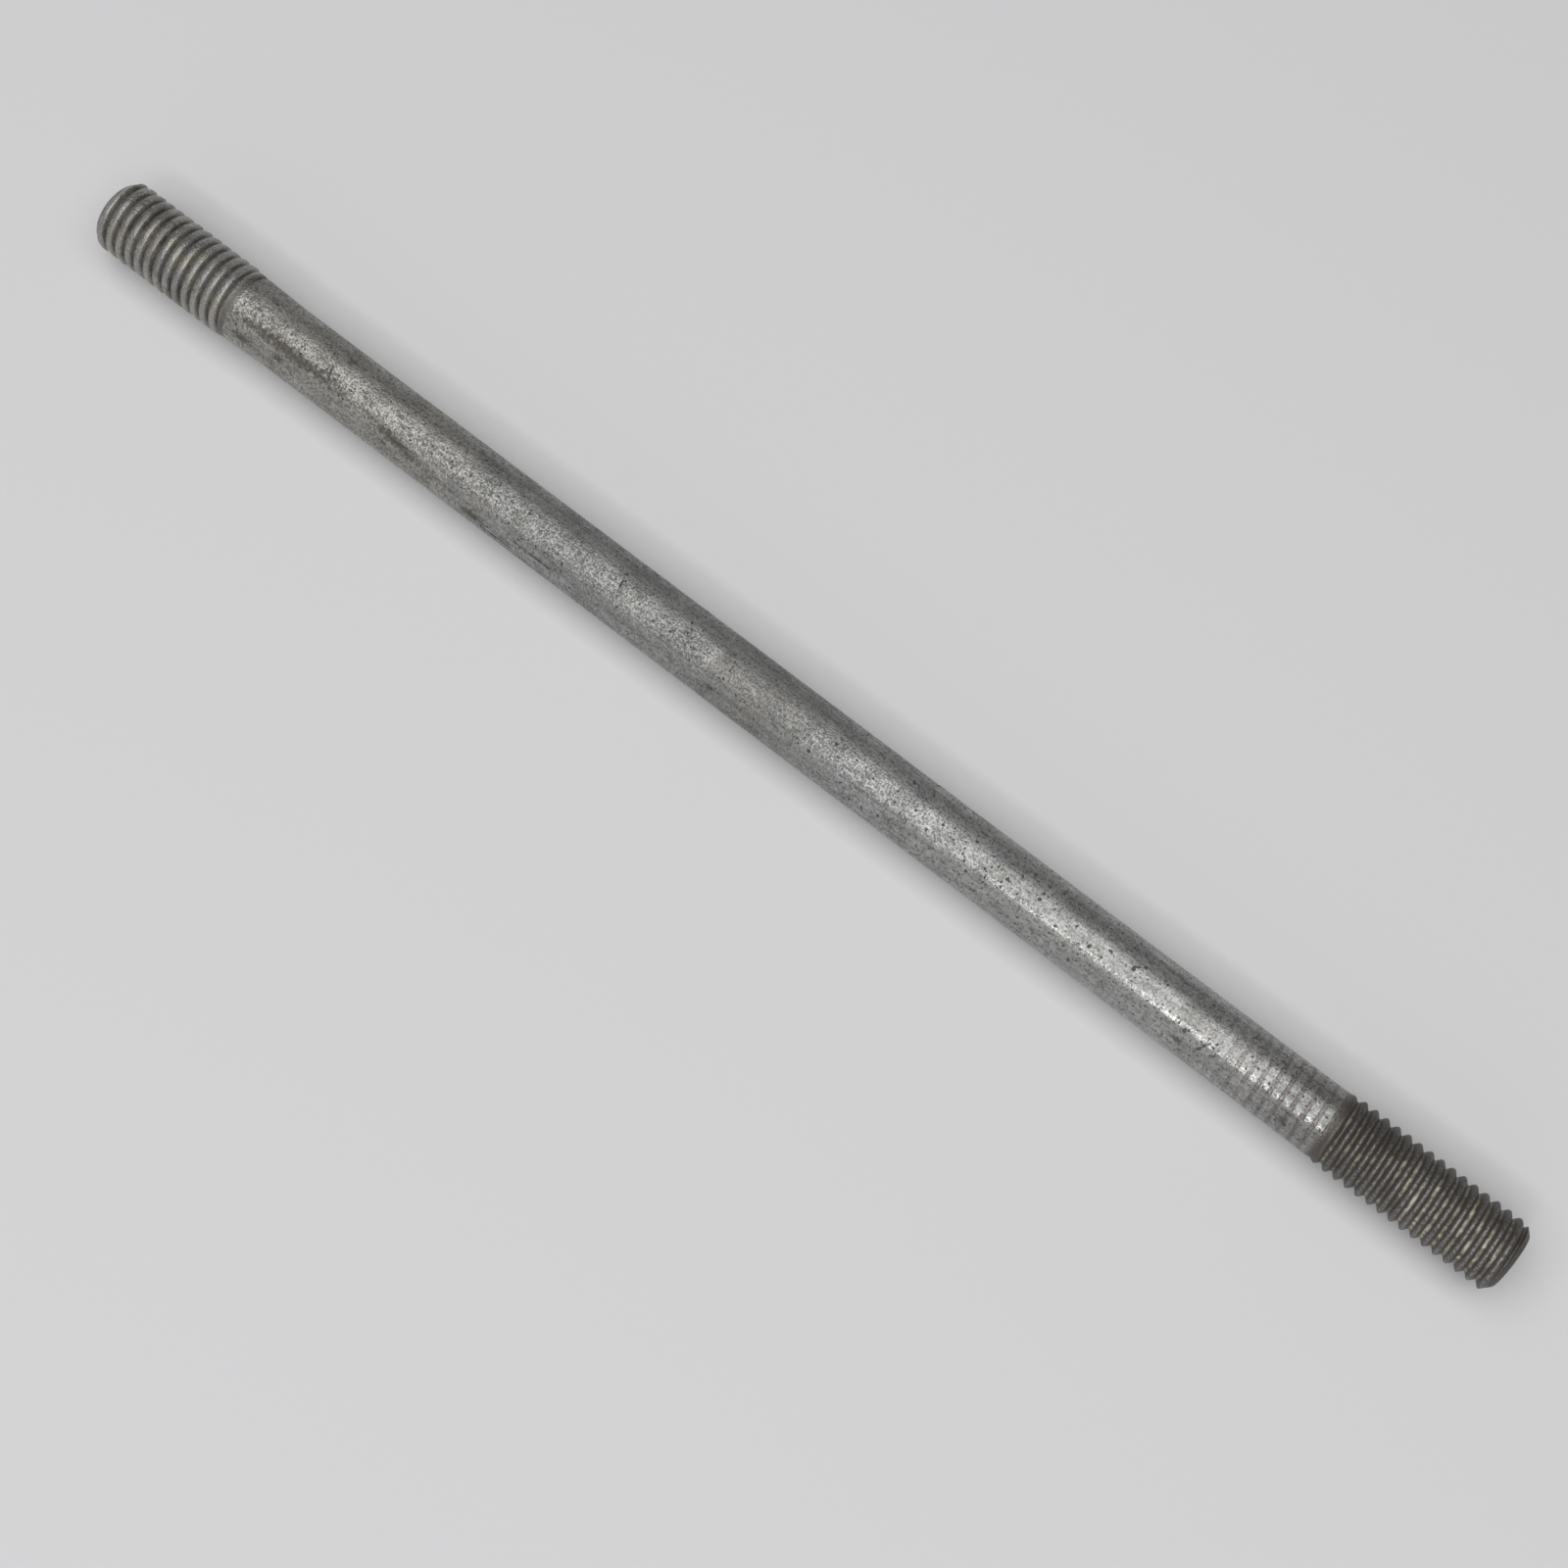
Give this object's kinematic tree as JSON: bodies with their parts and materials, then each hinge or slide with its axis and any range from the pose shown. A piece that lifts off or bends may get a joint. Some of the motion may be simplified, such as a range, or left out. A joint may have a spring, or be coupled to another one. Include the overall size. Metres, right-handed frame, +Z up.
{
  "type": "double-ended threaded rod",
  "caption": "Straight steel rod with a plain round shank and a short right-hand screw thread on each end, for clamping parts together or hanging a load.",
  "frame": {"origin": "middle of the rod's length, on the surface it lies on, under its axis", "axes": "+X along the rod towards the coarse thread, +Z up, Y across the rod"},
  "size_m": [0.172, 0.0078, 0.0078],
  "materials": {
    "weathered_steel": "dull grey steel with a grainy plated skin, dark stains and small pits, darker in the thread grooves"
  },
  "bodies": {
    "root": {"rod": "weathered_steel"}
  },
  "joints": []
}
